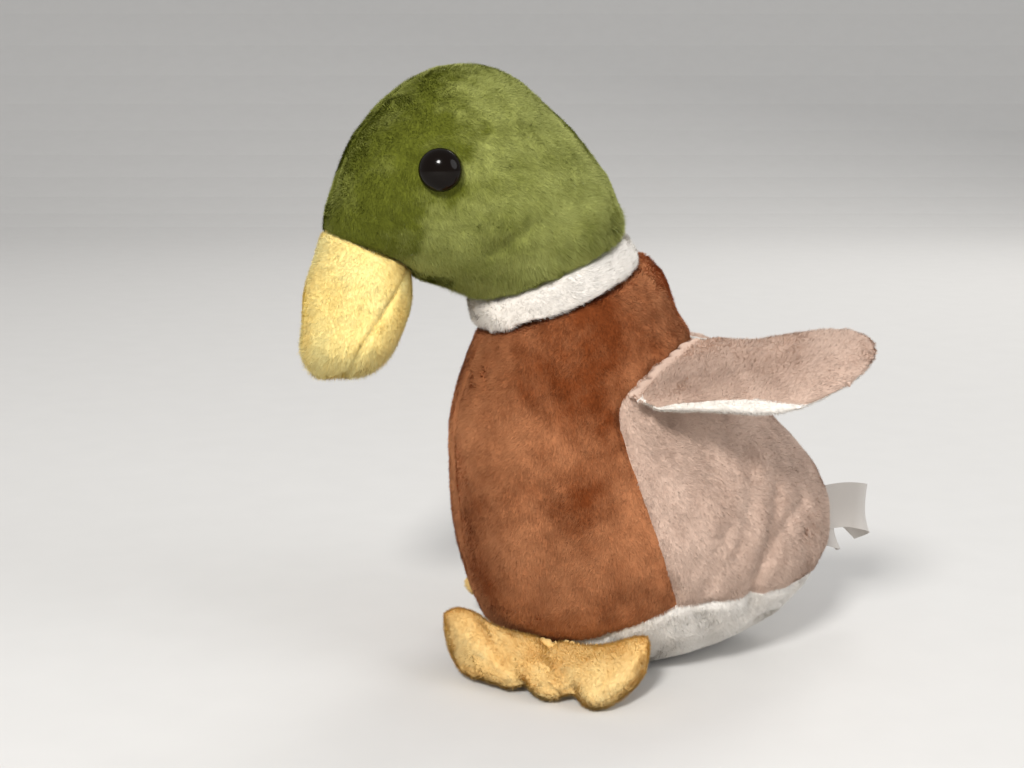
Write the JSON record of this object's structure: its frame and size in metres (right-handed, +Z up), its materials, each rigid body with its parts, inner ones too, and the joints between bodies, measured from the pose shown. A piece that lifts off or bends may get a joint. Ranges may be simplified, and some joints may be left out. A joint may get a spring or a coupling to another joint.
{
  "type": "plush duck",
  "caption": "Seated plush duck: sewn cloth body, bowed head on a collar, hanging bill, wings held out, flat webbed feet, a ribbon label at the rump.",
  "frame": {"origin": "on the flat face that the belly rests on, in the middle plane", "axes": "+Z up, -Y the way the duck faces, +X the duck's own left side"},
  "size_m": [0.1107, 0.1518, 0.1485],
  "materials": {
    "brown_plush": "matte",
    "taupe_plush": "matte",
    "white_plush": "matte",
    "green_plush": "matte",
    "yellow_plush": "matte",
    "orange_plush": "matte",
    "stuffing": "matte",
    "pellet_bag": "matte",
    "ribbon": "satin",
    "eye_plastic": "gloss",
    "washer_plastic": "satin"
  },
  "bodies": {
    "body": {"breast_left": "brown_plush", "flank_left": "taupe_plush", "breast_right": "brown_plush", "flank_right": "taupe_plush", "belly": "white_plush", "body_stuffing": "stuffing", "pellet_pouch": "pellet_bag"},
    "neck": {"collar": "white_plush", "neck_stuffing": "stuffing"},
    "head": {"head_left": "green_plush", "eye_left": "eye_plastic", "eye_washer_left": "washer_plastic", "head_right": "green_plush", "eye_right": "eye_plastic", "eye_washer_right": "washer_plastic", "head_stuffing": "stuffing", "bill_upper": "yellow_plush", "bill_lower": "yellow_plush", "bill_stuffing": "stuffing"},
    "wing_left": {"wing_left_top": "taupe_plush", "wing_left_lining": "white_plush", "wing_left_wadding": "stuffing"},
    "wing_right": {"wing_right_top": "taupe_plush", "wing_right_lining": "white_plush", "wing_right_wadding": "stuffing"},
    "foot_left": {"foot_left_top": "orange_plush", "foot_left_sole": "orange_plush", "foot_left_wadding": "stuffing"},
    "foot_right": {"foot_right_top": "orange_plush", "foot_right_sole": "orange_plush", "foot_right_wadding": "stuffing"},
    "label": {"care_label": "ribbon"}
  },
  "joints": [
    {"name": "neck_turn", "type": "hinge", "parent": "body", "child": "neck", "pos_m": [0, -0.0116, 0.0933], "axis": [0, -0.3907, 0.9205], "range_deg": [-25, 25], "stiffness_Nm_per_rad": 0.15},
    {"name": "head_nod", "type": "hinge", "parent": "neck", "child": "head", "pos_m": [0, -0.0152, 0.10177], "axis": [1, 0, 0], "range_deg": [-18, 10], "stiffness_Nm_per_rad": 0.35, "deforming": ["collar", "neck_stuffing"]},
    {"name": "wing_left_flap", "type": "hinge", "parent": "body", "child": "wing_left", "pos_m": [0.02661, 0.0055, 0.07778], "axis": [0.4308, -0.7865, -0.4425], "range_deg": [-25, 40], "stiffness_Nm_per_rad": 0.02},
    {"name": "wing_right_flap", "type": "hinge", "parent": "body", "child": "wing_right", "pos_m": [-0.02661, 0.0055, 0.07778], "axis": [0.4308, 0.7865, 0.4425], "range_deg": [0, 65], "stiffness_Nm_per_rad": 0.02},
    {"name": "foot_left_bend", "type": "hinge", "parent": "body", "child": "foot_left", "pos_m": [0.02145, -0.0184, 0.01106], "axis": [-0.6196, -0.7849, 0], "range_deg": [-12, 18], "stiffness_Nm_per_rad": 0.03},
    {"name": "foot_right_bend", "type": "hinge", "parent": "body", "child": "foot_right", "pos_m": [-0.02993, 0.00165, 0.01114], "axis": [-0.1517, 0.9884, 0], "range_deg": [-12, 12], "stiffness_Nm_per_rad": 0.03},
    {"name": "label_swing", "type": "hinge", "parent": "body", "child": "label", "pos_m": [0, 0.06265, 0.0256], "axis": [0, 0, 1], "range_deg": [-25, 25], "stiffness_Nm_per_rad": 0.0003}
  ]
}
